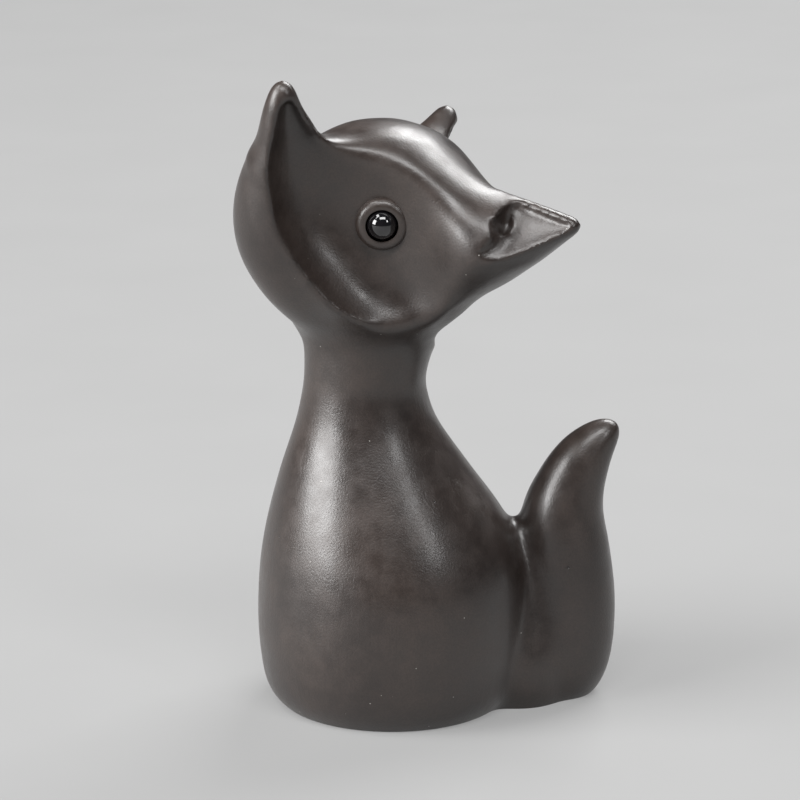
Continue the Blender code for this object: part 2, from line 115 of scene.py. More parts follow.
# Ear stations, in the head's frame: forwards, outwards, up, radius
EAR_LINES = (
    (-2.6 * MM, 4.0 * MM, -8.6 * MM, 6.2 * MM),
    (-4.2 * MM, 7.6 * MM, -5.2 * MM, 7.0 * MM),
    (-5.3 * MM, 10.2 * MM, -1.4 * MM, 7.6 * MM),
    (-5.3 * MM, 12.5 * MM, 2.3 * MM, 7.4 * MM),
    (-4.5 * MM, 14.9 * MM, 6.0 * MM, 6.4 * MM),
    (-2.9 * MM, 18.1 * MM, 10.4 * MM, 4.7 * MM),
    (-2.4 * MM, 21.0 * MM, 14.4 * MM, 3.0 * MM),
    (-2.1 * MM, 22.2 * MM, 16.9 * MM, 2.1 * MM),
    (-1.9 * MM, 22.6 * MM, 18.4 * MM, 1.4 * MM),
    (-1.8 * MM, 22.7 * MM, 19.1 * MM, 0.5 * MM),
)
# The ears from this height up, and the muzzle from this distance forwards, are joined on once
# more after the head is melted, which keeps their ends crisp
HORN_BASE = 8.0 * MM
BEAK_BASE = 19.0 * MM

# Cheek dish, which runs up into the ear. Its frame looks out of the cheek from the head's middle,
# turned from straight ahead by the heading, and down by the droop.
DISH_HEADING = math.radians(60.0)
DISH_DROOP = math.radians(10.0)
# Its stations: up, forwards, half width at the rim, depth under the rim, height of the rim
DISH_LINES = (
    (-11.6 * MM, 6.2 * MM, 1.2 * MM, 0.5 * MM, 13.0 * MM),
    (-10.7 * MM, 6.0 * MM, 4.2 * MM, 1.5 * MM, 13.0 * MM),
    (-8.6 * MM, 5.1 * MM, 6.9 * MM, 3.3 * MM, 13.1 * MM),
    (-6.0 * MM, 4.0 * MM, 8.8 * MM, 4.6 * MM, 13.3 * MM),
    (-1.9 * MM, 2.3 * MM, 10.2 * MM, 5.5 * MM, 13.5 * MM),
    (2.1 * MM, 1.0 * MM, 11.0 * MM, 5.6 * MM, 13.6 * MM),
    (5.3 * MM, 0.1 * MM, 11.0 * MM, 5.6 * MM, 13.7 * MM),
    (8.5 * MM, -0.9 * MM, 10.8 * MM, 5.1 * MM, 13.8 * MM),
    (11.5 * MM, -2.8 * MM, 9.3 * MM, 4.4 * MM, 14.2 * MM),
    (13.1 * MM, -5.7 * MM, 6.7 * MM, 3.8 * MM, 14.6 * MM),
    (14.3 * MM, -8.4 * MM, 4.2 * MM, 3.1 * MM, 15.0 * MM),
    (16.0 * MM, -10.4 * MM, 2.4 * MM, 2.3 * MM, 15.2 * MM),
    (18.0 * MM, -11.5 * MM, 1.2 * MM, 1.3 * MM, 15.2 * MM),
    (19.4 * MM, -12.2 * MM, 0.4 * MM, 0.5 * MM, 15.2 * MM),
)
# Each section is an oval whose middle lies over the rim, by this share of its half depth
DISH_LIFT = 0.5
# Its floor leans back by this share of its half width, which sets in between two levels
DISH_LEAN = 0.25
LEAN_RISE = (-9.0 * MM, 4.0 * MM)

# Where the dish's rim is soft, in its frame, as the lengths over which that fades in from behind,
# fades in from below, and fades out up the ear and towards the muzzle
SOFT_FORWARD = (-7.0 * MM, -2.0 * MM)
SOFT_UP = (-7.0 * MM, -2.0 * MM)
SOFT_EAR = (12.5 * MM, 15.0 * MM)
SOFT_BEAK = (14.0 * MM, 17.0 * MM)
# Where it is only worn: up the ears, and low on the far cheek
WORN_UP = (11.0 * MM, 14.0 * MM)
WORN_DOWN = (6.0 * MM, 9.0 * MM)
# Where its floor is smoothed: distance in from the rim over which that fades in, and the least
# distance that the floor lies out from the head's middle
FLOOR_EDGE = (1.0 * MM, 3.0 * MM)
DISH_BOTTOM = 5.0 * MM

# Eyes: place in the dish's frame, height of their seat over its floor, and how far they look down
EYE_UP = 3.5 * MM
EYE_FORWARD = 2.0 * MM
EYE_SEAT = 0.4 * MM
EYE_DROOP = math.radians(15.0)
# Ring of clay round each bead: radius, half thickness, height over the seat
LID_RADIUS = 2.5 * MM
LID_HALF = 1.1 * MM
LID_LIFT = 0.9 * MM
# Bead: radius, height over the seat, gap to its socket
BEAD_RADIUS = 2.1 * MM
BEAD_LIFT = 1.0 * MM
BEAD_GAP = 0.3 * MM

# Tail stations: distance from the body's axis, height, radius
TAIL_LINES = (
    (22.4 * MM, -2.0 * MM, 2.8 * MM),
    (22.6 * MM, 0.0 * MM, 4.9 * MM),
    (23.1 * MM, 2.4 * MM, 6.3 * MM),
    (23.9 * MM, 6.5 * MM, 7.0 * MM),
    (24.3 * MM, 13.0 * MM, 7.0 * MM),
    (24.0 * MM, 19.5 * MM, 6.6 * MM),
    (23.7 * MM, 25.6 * MM, 5.9 * MM),
    (24.8 * MM, 30.2 * MM, 4.9 * MM),
    (26.5 * MM, 33.8 * MM, 4.1 * MM),
    (28.3 * MM, 36.2 * MM, 3.2 * MM),
    (30.0 * MM, 37.8 * MM, 2.3 * MM),
    (31.1 * MM, 38.7 * MM, 1.4 * MM),
    (31.5 * MM, 39.1 * MM, 0.6 * MM),
)
# How far the tail points to the far side of +X
TAIL_TURN = math.radians(4.0)

# Web of clay that fills the crease between tail and body lower down: its middle's distance from
# the body's axis, and its stations as height, half length, half width
WEB_DISTANCE = 17.4 * MM
WEB_LINES = (
    (-2.0 * MM, 6.5 * MM, 6.9 * MM),
    (0.0 * MM, 7.5 * MM, 7.9 * MM),
    (2.5 * MM, 8.0 * MM, 8.9 * MM),
    (7.0 * MM, 8.0 * MM, 8.9 * MM),
    (13.0 * MM, 7.5 * MM, 7.2 * MM),
    (18.0 * MM, 6.5 * MM, 5.5 * MM),
    (22.0 * MM, 5.0 * MM, 3.9 * MM),
    (24.5 * MM, 2.5 * MM, 2.4 * MM),
)

# Surface: grain of the skin, radius to which creases are filled, and the lengths over which each
# stage is softened
GRAIN = 0.34 * MM
CREASE_FILL = 5.0 * MM
HEAD_SOFTNESS = 4.6 * MM
BODY_SOFTNESS = 2.7 * MM
FACE_SOFTNESS = 1.3 * MM
RIM_SOFTNESS = 9.0 * MM
WORN_SOFTNESS = 1.5 * MM
FLOOR_SOFTNESS = 4.0 * MM
LAST_SOFTNESS = 1.3 * MM
# Share of the way to its neighbours' middle that a point goes in one smoothing step
SMOOTH_FACTOR = 0.5
# Points round a section, and sections from one station to the next, as built and where a
# height is looked up
RING_POINTS = 96
RING_STEPS = 8
FINE_STEPS = 20
# Points round a cutting ball and round a bead, and round the ring of an eye both ways
BALL_POINTS = 64
BEAD_POINTS = 72
LID_POINTS = 24
LID_STEPS = 64
# Triangles that the skin keeps, and the angle over which an edge is shaded sharp
SKIN_FACETS = 185000
SHARP_ANGLE = math.radians(60.0)


def fade(value, start, finish):
    """Soft step from 0 at start to 1 at finish."""
    share = min(max((value - start) / (finish - start), 0.0), 1.0)
    return share * share * (3 - 2 * share)


def smooth_stations(stations, steps=RING_STEPS):
    """Stations joined by a Catmull-Rom curve, which passes through every one of them."""
    points = []
    for station in stations:
        points.append([*station])
    first = [2 * a - b for a, b in zip(points[0], points[1])]
    last = [2 * a - b for a, b in zip(points[-1], points[-2])]
    ends = [first, *points, last]
    line = []
    for before, start, finish, after in zip(ends, ends[1:], ends[2:], ends[3:]):
        for step in range(steps):
            t = step / steps
            row = []
            for a, b, c, d in zip(before, start, finish, after):
                bend = 2 * a - 5 * b + 4 * c - d
                twist = 3 * b - a - 3 * c + d
                row.append(0.5 * (2 * b + (c - a) * t + bend * t**2 + twist * t**3))
            line.append(row)
    line.append(points[-1])
    return line


def ring_angles():
    return [2 * math.pi * index / RING_POINTS for index in range(RING_POINTS)]


def face_outwards(mesh):
    bmesh.ops.recalc_face_normals(mesh, faces=mesh.faces)
    if mesh.calc_volume(signed=True) < 0:
        bmesh.ops.reverse_faces(mesh, faces=mesh.faces)


def skin_rings(mesh, rings):
    """Joins closed rings of points, given in order along a form, into one closed shell."""
    shell = bmesh.new()
    loops = [[shell.verts.new(point) for point in ring] for ring in rings]
    for low, high in zip(loops, loops[1:]):
        for index in range(len(low)):
            after = (index + 1) % len(low)
            shell.faces.new((low[index], low[after], high[after], high[index]))
    shell.faces.new(list(reversed(loops[0])))
    shell.faces.new(loops[-1])
    face_outwards(shell)
    piece = bpy.data.meshes.new("ring_shell")
    shell.to_mesh(piece)
    shell.free()
    mesh.from_mesh(piece)
    bpy.data.meshes.remove(piece)


def head_matrix():
    middle = Matrix.Translation((HEAD_SHIFT, 0.0, HEAD_HEIGHT))
    turn = Matrix.Rotation(HEAD_TURN, 4, "Z")
    tilt = Matrix.Rotation(-HEAD_TILT, 4, "X")
    return middle @ turn @ tilt


def body_rings():
    rings = []
    for height, shift, length, width in smooth_stations(BODY_LINES):
        ring = []
        for angle in ring_angles():
            across = width * math.sin(angle)
            ring.append(Vector((shift + length * math.cos(angle), across, height)))
        rings.append(ring)
    return rings


def head_rings():
    """Ovals of the head. Under its middle they swing back over the neck, which stands upright."""
    place = head_matrix()
    foot = -HEAD_LINES[0][0]
    rings = []
    for height, shift, length, width in smooth_stations(HEAD_LINES):
        swing = math.tan(HEAD_TILT) * min(height, 0.0) ** 2 / foot
        ring = []
        for angle in ring_angles():
            along = shift + length * math.cos(angle - HEAD_TURN)
            across = swing + width * math.sin(angle - HEAD_TURN)
            ring.append(place @ Vector((along, across, height)))
        rings.append(ring)
    return rings


def muzzle_rings(base=-math.inf):
    """Three-sided sections with round corners, set with one corner up as the muzzle's ridge.

    Only those from the distance base forwards are made. A triangle's sides lie half as far out
    as its corners, and each section is stretched to its half height and half width.
    """
    place = head_matrix()
    third = 2 * math.pi / 3
    outline = []
    for angle in ring_angles():
        flat = 0.5 / math.cos(angle % third - third / 2)
        reach = MUZZLE_FACET * flat + 1 - MUZZLE_FACET
        outline.append((reach * math.sin(angle), reach * math.cos(angle)))
    widest = max(side for side, up in outline)
    lowest = min(up for side, up in outline)
    rings = []
    for forward, middle, tall, wide in smooth_stations(MUZZLE_LINES):
        if forward < base:
            continue
        ring = []
        for side, up in outline:
            level = (2 * up - 1 - lowest) / (1 - lowest)
            ring.append(place @ Vector((forward, wide * side / widest, middle + tall * level)))
        rings.append(ring)
    return rings


def swept_rings(line):
    """Round sections, each square to a line of points that carry a radius."""
    rings = []
    for index, (point, radius) in enumerate(line):
        before = line[max(index - 1, 0)][0]
        after = line[min(index + 1, len(line) - 1)][0]
        heading = (after - before).normalized()
        across = heading.cross(Vector((0.0, 1.0, 0.0))).normalized()
        other = heading.cross(across)
        ring = []
        for angle in ring_angles():
            offset = across * math.cos(angle) + other * math.sin(angle)
            ring.append(point + radius * offset)
        rings.append(ring)
    return rings


def tail_heading():
    return Vector((math.cos(TAIL_TURN), math.sin(TAIL_TURN), 0.0))


def tail_rings():
    line = []
    for distance, height, radius in smooth_stations(TAIL_LINES):
        line.append((distance * tail_heading() + Vector((0.0, 0.0, height)), radius))
    return swept_rings(line)


def web_rings():
    along = tail_heading()
    across = Vector((-along.y, along.x, 0.0))
    rings = []
    for height, length, width in smooth_stations(WEB_LINES):
        middle = WEB_DISTANCE * along + Vector((0.0, 0.0, height))
        ring = []
        for angle in ring_angles():
            offset = length * math.cos(angle) * along + width * math.sin(angle) * across
            ring.append(middle + offset)
        rings.append(ring)
    return rings


def ear_rings(side, base=-math.inf):
    """One ear with its root down the back of the head, from the height base up."""
    line = []
    for forward, out, up, radius in smooth_stations(EAR_LINES):
        if up >= base:
            line.append((head_matrix() @ Vector((forward, side * out, up)), radius))
    return swept_rings(line)


def outlook(side, heading, droop):
    """Forward, up and outward directions of a frame that looks out of a cheek."""
    flat = math.cos(droop)
    out = Vector((flat * math.cos(heading), side * flat * math.sin(heading), -math.sin(droop)))
    up = (Vector((0.0, 0.0, 1.0)) + math.sin(droop) * out).normalized()
    return -side * up.cross(out), up, out


def dish_rings(side):
    forward, up, out = outlook(side, DISH_HEADING, DISH_DROOP)
    place = head_matrix()
    spread = math.sqrt(1 - DISH_LIFT**2)
    rings = []
    for level, middle, half, depth, rim in smooth_stations(DISH_LINES):
        reach = depth / (1 - DISH_LIFT)
        ring = []
        for angle in ring_angles():
            lean = DISH_LEAN * fade(level, *LEAN_RISE) * min(math.sin(angle), 0.0)
            along = middle + half * (math.cos(angle) / spread + lean)
            away = rim + reach - depth + reach * math.sin(angle)
            ring.append(place @ (forward * along + up * level + out * away))
        rings.append(ring)
    return rings


def paring_frame(side):
    """The root's ridge end, its cheek end, the tip, and the outward direction of the scoop."""
    corners = []
    for forward, out, up in (PARING_RIDGE, PARING_CHEEK, PARING_TIP):
        corners.append(Vector((forward, side * out, up)))
    ridge, cheek, tip = corners
    facing = side * (cheek - ridge).cross(ridge - tip).normalized()
    return ridge, cheek, tip, facing


def paring_rings(side):
    ridge, cheek, tip, facing = paring_frame(side)
    place = head_matrix()
    middle = (ridge + cheek) / 2
    height = (ridge - cheek) / 2
    rings = []
    for way, share, depth in smooth_stations(PARING_LINES):
        centre = middle + way * (tip - middle)
        ring = []
        for angle in ring_angles():
            rise = math.sin(angle)
            away = rise * (depth if rise < 0 else PARING_CLEAR)
            bow = PARING_BOW * (1.0 - way) * rise**2
            spot = centre + bow * (tip - middle).normalized()
            ring.append(place @ (spot + share * math.cos(angle) * height + away * facing))
        rings.append(ring)
    return rings


def pit_matrix(side):
    ridge, cheek, tip, facing = paring_frame(side)
    height = (ridge - cheek).normalized()
    turn = Matrix((height.cross(facing), height, facing)).transposed().to_4x4()
    forward = (tip - (ridge + cheek) / 2).normalized()
    spot = ridge + PIT_SHARE * (cheek - ridge) + PIT_FORWARD * forward
    return head_matrix() @ Matrix.Translation(spot) @ turn


def seat_distance():
    """Distance of an eye's seat from the head's middle, in the direction that the dish looks."""
    rows = smooth_stations(DISH_LINES, FINE_STEPS)
    row = next(row for row in rows if row[0] >= EYE_UP)
    return row[4] - row[3] + EYE_SEAT


def eye_matrix(side, lift):
    """A frame whose Z looks out of an eye, with its origin lift above the seat."""
    forward, up, out = outlook(side, DISH_HEADING, DISH_DROOP)
    seat = forward * EYE_FORWARD + up * EYE_UP + out * seat_distance()
    axis = outlook(side, DISH_HEADING, EYE_DROOP)[2]
    turn = axis.to_track_quat("Z", "X").to_matrix().to_4x4()
    return head_matrix() @ Matrix.Translation(seat + lift * axis) @ turn


def add_to_scene(name, data):
    thing = bpy.data.objects.new(name, data)
    bpy.context.scene.collection.objects.link(thing)
    return thing


def new_object(name, mesh):
    data = bpy.data.meshes.new(name)
    mesh.to_mesh(data)
    mesh.free()
    return add_to_scene(name, data)


def ring_object(name, groups):
    mesh = bmesh.new()
    for rings in groups:
        skin_rings(mesh, rings)
    return new_object(name, mesh)


def ball_object(name, place, half, points=BALL_POINTS):
    """A ball or flattened ball, worked straight into its mesh at its place."""
    mesh = bmesh.new()
    shape = place @ Matrix.Diagonal((*half, 1.0))
    bmesh.ops.create_uvsphere(
        mesh, u_segments=points, v_segments=points // 2, radius=1.0, matrix=shape
    )
    return new_object(name, mesh)


def lid_object(name, side):
    """The raised ring of clay round a bead: a circle spun about the eye's axis."""
    mesh = bmesh.new()
    stand = Matrix.Translation((LID_RADIUS, 0.0, 0.0)) @ Matrix.Rotation(math.pi / 2, 4, "X")
    bmesh.ops.create_circle(mesh, segments=LID_POINTS, radius=LID_HALF, matrix=stand)
    bmesh.ops.spin(
        mesh,
        geom=mesh.verts[:] + mesh.edges[:],
        axis=(0.0, 0.0, 1.0),
        cent=(0.0, 0.0, 0.0),
        angle=2 * math.pi,
        steps=LID_STEPS,
        use_merge=True,
    )
    face_outwards(mesh)
    bmesh.ops.transform(mesh, matrix=eye_matrix(side, LID_LIFT), verts=mesh.verts)
    return new_object(name, mesh)


def settle(thing):
    """Keeps what the modifiers make as the object's own mesh."""
    graph = bpy.context.evaluated_depsgraph_get()
    mesh = bpy.data.meshes.new_from_object(thing.evaluated_get(graph), depsgraph=graph)
    old = thing.data
    thing.modifiers.clear()
    thing.data = mesh
    bpy.data.meshes.remove(old)
    return thing


def soften(thing, reach, group=""):
    """Smooths the skin over a length, all of it or the group of points named."""
    step = thing.modifiers.new("soften", "SMOOTH")
    step.factor = SMOOTH_FACTOR
    step.iterations = max(1, round((reach / GRAIN) ** 2))
    step.vertex_group = group


def melt(thing, reach):
    """Lays one skin over all that the object holds, and softens it over a length."""
    skin = thing.modifiers.new("skin", "REMESH")
    skin.mode = "VOXEL"
    skin.voxel_size = GRAIN
    soften(thing, reach)


def fill_creases(thing, radius):
    """Rounds out the creases: the skin grows by the radius and shrinks back."""
    for growth in (radius, -radius):
        swell = thing.modifiers.new("swell", "DISPLACE")
        swell.mid_level = 0.0
        swell.strength = growth
        melt(thing, GRAIN)


def combine(thing, tool, operation):
    """Cuts or joins the tool, which is then no longer needed."""
    step = thing.modifiers.new("combine", "BOOLEAN")
    step.object = tool
    step.operation = operation
    step.solver = "EXACT"
    settle(thing)
    bpy.data.objects.remove(tool)


def brow_share(along, level):
    """How far the rim is soft at a place of the dish's frame."""
    inside = fade(along, *SOFT_FORWARD) * fade(level, *SOFT_UP)
    outside = (1 - fade(level, *SOFT_EAR)) * (1 - fade(along, *SOFT_BEAK))
    return inside * outside


def worn_share(side, level):
    low = fade(-level, *WORN_DOWN) if side == FAR else 0.0
    return max(fade(level, *WORN_UP), low)


def floor_share(rows, along, level, away):
    """How far a point belongs to the dish's floor, whose stations are given as rows."""
    if away <= DISH_BOTTOM or not rows[0][0] < level < rows[-1][0]:
        return 0.0
    row = rows[bisect.bisect(rows, level, key=lambda row: row[0])]
    return fade(row[2] - abs(along - row[1]), *FLOOR_EDGE)


def soften_rims(thing):
    """Rounds each dish: its rim in front and over the brow, where it is worn, and its floor."""
    inwards = head_matrix().inverted()
    rows = smooth_stations(DISH_LINES)
    reaches = {
        "soft_rim": RIM_SOFTNESS,
        "worn_rim": WORN_SOFTNESS,
        "dish_floor": FLOOR_SOFTNESS,
    }
    groups = [thing.vertex_groups.new(name=name) for name in reaches]
    frames = [(side, outlook(side, DISH_HEADING, DISH_DROOP)) for side in SIDES]
    for vertex in thing.data.vertices:
        place = inwards @ vertex.co
        for side, (forward, up, out) in frames:
            along, level, away = place.dot(forward), place.dot(up), place.dot(out)
            if place.y * side <= 0 or away < 0:
                continue
            shares = (
                brow_share(along, level),
                worn_share(side, level),
                floor_share(rows, along, level, away),
            )
            for group, share in zip(groups, shares):
                if share > 0:
                    group.add((vertex.index,), share, "REPLACE")
    for name, reach in reaches.items():
        soften(thing, reach, name)
    settle(thing)
    thing.vertex_groups.clear()


def cut_sole(thing):
    """Cuts the foot flat where it stands on the table."""
    floor = bmesh.new()
    bmesh.ops.create_cube(floor, size=2 * HEAD_HEIGHT)
    bmesh.ops.translate(floor, vec=(0.0, 0.0, -HEAD_HEIGHT), verts=floor.verts)
    combine(thing, new_object("floor_tool", floor), "DIFFERENCE")


def thin_out(thing, facets):
    """Fewer facets, chosen in millimetres because Decimate judges metres too coarsely."""
    thing.data.transform(Matrix.Scale(1 / MM, 4))
    thing.data.calc_loop_triangles()
    fewer = thing.modifiers.new("fewer", "DECIMATE")
    fewer.ratio = min(1.0, facets / len(thing.data.loop_triangles))
    settle(thing)
    thing.data.transform(Matrix.Scale(MM, 4))


def make_head():
    """The ball of the head with the roots of ears and muzzle, melted together."""
    groups = (head_rings(), muzzle_rings(), ear_rings(NEAR), ear_rings(FAR))
    head = ring_object("head_tool", groups)
    melt(head, GRAIN)
    fill_creases(head, CREASE_FILL)
    soften(head, HEAD_SOFTNESS)
    return settle(head)


def make_body():
    """The whole skin of clay, with its dishes, its scoops, the flat sole and both eye sockets."""
    groups = (body_rings() + head_rings(), tail_rings(), web_rings())
    body = ring_object("fox_skin", groups)
    melt(body, BODY_SOFTNESS)
    settle(body)
    combine(body, make_head(), "UNION")
    combine(body, ring_object("beak_tool", (muzzle_rings(BEAK_BASE),)), "UNION")
    horns = [ear_rings(side, HORN_BASE) for side in SIDES]
    combine(body, ring_object("horn_tool", horns), "UNION")
    melt(body, FACE_SOFTNESS)
    settle(body)
    dishes = [dish_rings(side) for side in SIDES]
    combine(body, ring_object("dish_tool", dishes), "DIFFERENCE")
    melt(body, GRAIN)
    settle(body)
    soften_rims(body)
    for side in SIDES:
        combine(body, ring_object("paring_tool", (paring_rings(side),)), "DIFFERENCE")
        combine(body, ball_object("pit_tool", pit_matrix(side), PIT_HALF), "DIFFERENCE")
    melt(body, LAST_SOFTNESS)
    settle(body)
    cut_sole(body)
    for side in SIDES:
        combine(body, lid_object("lid_tool", side), "UNION")
        half = (BEAD_RADIUS + BEAD_GAP,) * 3
        combine(body, ball_object("socket_tool", eye_matrix(side, BEAD_LIFT), half), "DIFFERENCE")
    thin_out(body, SKIN_FACETS)
    return body


def shade_smooth(thing):
    thing.data.shade_smooth()
    thing.data.set_sharp_from_angle(angle=SHARP_ANGLE)


# Sockets of a Mix node for colours: the share and both colours, and the result
MIX_INPUTS = (0, 6, 7)
MIX_RESULT = 2


class Wiring:
    """Short names for making and joining shader nodes."""

    def __init__(self, name):
        self.material = bpy.data.materials.new(name)
        self.material.use_nodes = True
        self.nodes = self.material.node_tree.nodes
        self.links = self.material.node_tree.links
        self.shader = self.nodes["Principled BSDF"]
        self.place = self.add("ShaderNodeTexCoord").outputs["Object"]

    def add(self, kind, **settings):
        node = self.nodes.new(kind)
        for key, value in settings.items():
            setattr(node, key, value)
        return node

    def join(self, source, socket):
        """Sets a socket to a number or colour, or links another socket to it."""
        if isinstance(source, (int, float)):
            socket.default_value = source
        elif isinstance(source, tuple):
            socket.default_value = (*source, 1.0)[: len(socket.default_value)]
        else:
            self.links.new(source, socket)

    def dress(self, sources):
        """Joins sources to sockets of the shader, by name."""
        for name, source in sources.items():
            self.join(source, self.shader.inputs[name])

    def noise(self, scale, detail, stretch=(1, 1, 1), turn=(0, 0, 0), shift=(0, 0, 0)):
        mapping = self.add("ShaderNodeMapping")
        self.join(self.place, mapping.inputs["Vector"])
        mapping.inputs["Location"].default_value = shift
        mapping.inputs["Rotation"].default_value = [math.radians(angle) for angle in turn]
        mapping.inputs["Scale"].default_value = stretch
        texture = self.add("ShaderNodeTexNoise")
        self.join(mapping.outputs["Vector"], texture.inputs["Vector"])
        texture.inputs["Scale"].default_value = scale
        texture.inputs["Detail"].default_value = detail
        return texture.outputs["Fac"]

    def maths(self, operation, first, second):
        node = self.add("ShaderNodeMath", operation=operation)
        for value, socket in zip((first, second), node.inputs):
            self.join(value, socket)
        return node.outputs["Value"]

    def steps(self, value, low, high, bottom=0.0, top=1.0):
        """Value from low to high, read as bottom to top along a soft curve."""
        node = self.add("ShaderNodeMapRange", interpolation_type="SMOOTHSTEP")
        for source, socket in zip((value, low, high, bottom, top), node.inputs):
            self.join(source, socket)
        return node.outputs["Result"]

    def mix(self, share, first, second, blend="MIX"):
        node = self.add("ShaderNodeMix", data_type="RGBA", blend_type=blend)
        for source, index in zip((share, first, second), MIX_INPUTS):
            self.join(source, node.inputs[index])
        return node.outputs[MIX_RESULT]

    def dots(self, scale, size, kept, shift):
        """Small round dots, one in some of the cells of a loose lattice."""
        moved = self.add("ShaderNodeMapping")
        self.join(self.place, moved.inputs["Vector"])
        moved.inputs["Location"].default_value = (shift, shift, shift)
        cells = self.add("ShaderNodeTexVoronoi")
        self.join(moved.outputs["Vector"], cells.inputs["Vector"])
        cells.inputs["Scale"].default_value = scale
        spot = self.steps(cells.outputs["Distance"], size, DOT_CORE * size)
        split = self.add("ShaderNodeSeparateColor")
        self.join(cells.outputs["Color"], split.inputs["Color"])
        chosen = self.maths("LESS_THAN", split.outputs["Red"], kept)
        return self.maths("MULTIPLY", spot, chosen)

    def bump(self, height, depth, before):
        """Normals of a relief of that depth, laid over the relief before it."""
        node = self.add("ShaderNodeBump")
        node.inputs["Distance"].default_value = depth
        self.join(height, node.inputs["Height"])
        if before is not None:
            self.join(before, node.inputs["Normal"])
        return node.outputs["Normal"]


# Clay: the two browns of its clouds, its specks, and the painted shade that darkens its pinholes
CLAY_DARK = (0.027, 0.019, 0.016)
CLAY_MID = (0.042, 0.030, 0.025)
SPECK = (0.42, 0.40, 0.37)
PINHOLE_SHADE = (0.012, 0.009, 0.008)
# Scale and detail of its noises, from wide clouds to fine grain, and those of its brushing
CLOUDS = (70.0, 4.0)
MOTTLE = (420.0, 3.0)
GRIT = (3600.0, 2.0)
STROKES = (1100.0, 2.0)
PATCHES = (110.0, 1.0)
# How a stroke is drawn out and turned, in degrees, and where its patches lie
STROKE_STRETCH = (1.0, 1.0, 0.05)
STROKE_TURN = (0.0, 35.0, -30.0)
PATCH_SHIFT = (0.2, 0.1, 0.0)
# Part of each noise's range that is spread out
NOISE_SPAN = (0.3, 0.7)
CLOUD_SPAN = (0.35, 0.65)
STROKE_SPAN = (0.38, 0.62)
PATCH_SPAN = (0.45, 0.6)
# What the mottle and the grit make of the colour, and the mottle of the roughness
MOTTLE_TONE = (0.86, 1.1)
GRIT_TONE = (0.86, 1.12)
CLAY_ROUGHNESS = (0.33, 0.43)
# Dots: cells in a metre, radius in cells, share of the cells that hold one, shift in metres
SPECKS = (620.0, 0.065, 0.20, 0.0)
PINHOLES = (330.0, 0.07, 0.10, 0.37)
# Share of a dot's radius inside which it is full
DOT_CORE = 0.6
# Depths of the marks
STROKE_DEPTH = 0.010 * MM
GRIT_DEPTH = 0.028 * MM
MOTTLE_DEPTH = 0.012 * MM
PINHOLE_DEPTH = 0.08 * MM


def clay_material():
    """Burnished dark clay: clouded, mottled and gritty, with specks, brushing, and pinholes
    darkened by painted shade.
    """
    clay = Wiring("burnished_clay")
    clouds = clay.noise(*CLOUDS)
    mottle = clay.noise(*MOTTLE)
    grit = clay.noise(*GRIT)
    specks = clay.dots(*SPECKS)
    pinholes = clay.dots(*PINHOLES)
    colour = clay.mix(clay.steps(clouds, *CLOUD_SPAN), CLAY_DARK, CLAY_MID)
    tone = clay.steps(mottle, *NOISE_SPAN, *MOTTLE_TONE)
    tone = clay.maths("MULTIPLY", tone, clay.steps(grit, *NOISE_SPAN, *GRIT_TONE))
    colour = clay.mix(1.0, colour, tone, "MULTIPLY")
    colour = clay.mix(specks, colour, SPECK)
    # Painted shade: each pinhole is darkened as if shade fell inside it
    colour = clay.mix(pinholes, colour, PINHOLE_SHADE)
    strokes = clay.steps(clay.noise(*STROKES, STROKE_STRETCH, STROKE_TURN), *STROKE_SPAN)
    patches = clay.steps(clay.noise(*PATCHES, shift=PATCH_SHIFT), *PATCH_SPAN)
    reliefs = (
        (clay.maths("MULTIPLY", strokes, patches), STROKE_DEPTH),
        (grit, GRIT_DEPTH),
        (mottle, MOTTLE_DEPTH),
        (clay.maths("SUBTRACT", 1.0, pinholes), PINHOLE_DEPTH),
    )
    normal = None
    for height, depth in reliefs:
        normal = clay.bump(height, depth, normal)
    clay.dress(
        {
            "Base Color": colour,
            "Roughness": clay.steps(mottle, *NOISE_SPAN, *CLAY_ROUGHNESS),
            "Normal": normal,
            "Specular IOR Level": 0.75,
            "Coat Weight": 0.25,
            "Coat Roughness": 0.22,
        }
    )
    return clay.material


# Bead: its two blacks, and the roughness and noise of the haze on its glaze
BEAD_DARK = (0.004, 0.004, 0.005)
BEAD_PALE = (0.010, 0.009, 0.010)
BEAD_ROUGHNESS = (0.03, 0.07)
HAZE = (900.0, 2.0)


def bead_material():
    bead = Wiring("black_glaze")
    haze = bead.noise(*HAZE)
    bead.dress(
        {
            "Base Color": bead.mix(haze, BEAD_DARK, BEAD_PALE),
            "Roughness": bead.steps(haze, *NOISE_SPAN, *BEAD_ROUGHNESS),
            "Coat Weight": 1.0,
            "Coat Roughness": 0.02,
        }
    )
    return bead.material


# Camera, at the photograph's angle: the point it looks at, its distance and elevation, its lens
# and film in millimetres, and the least distance at which it sees
TARGET = Vector((0.0011, 0.0, 0.0426))
DISTANCE = 0.5
ELEVATION = math.radians(16.0)
LENS = 164.25
FILM_WIDTH = 36.0
NEAR_CLIP = 0.01


def aim(thing):
    """Turns a camera or lamp to look at the target."""
    thing.rotation_euler = (TARGET - thing.location).to_track_quat("-Z", "Y").to_euler()


def make_camera():
    camera = add_to_scene("camera", bpy.data.cameras.new("camera"))
    back = Vector((0.0, -math.cos(ELEVATION), math.sin(ELEVATION)))
    camera.location = TARGET + DISTANCE * back
    aim(camera)
    camera.data.lens = LENS
    camera.data.sensor_width = FILM_WIDTH
    camera.data.clip_start = NEAR_CLIP
    bpy.context.scene.camera = camera


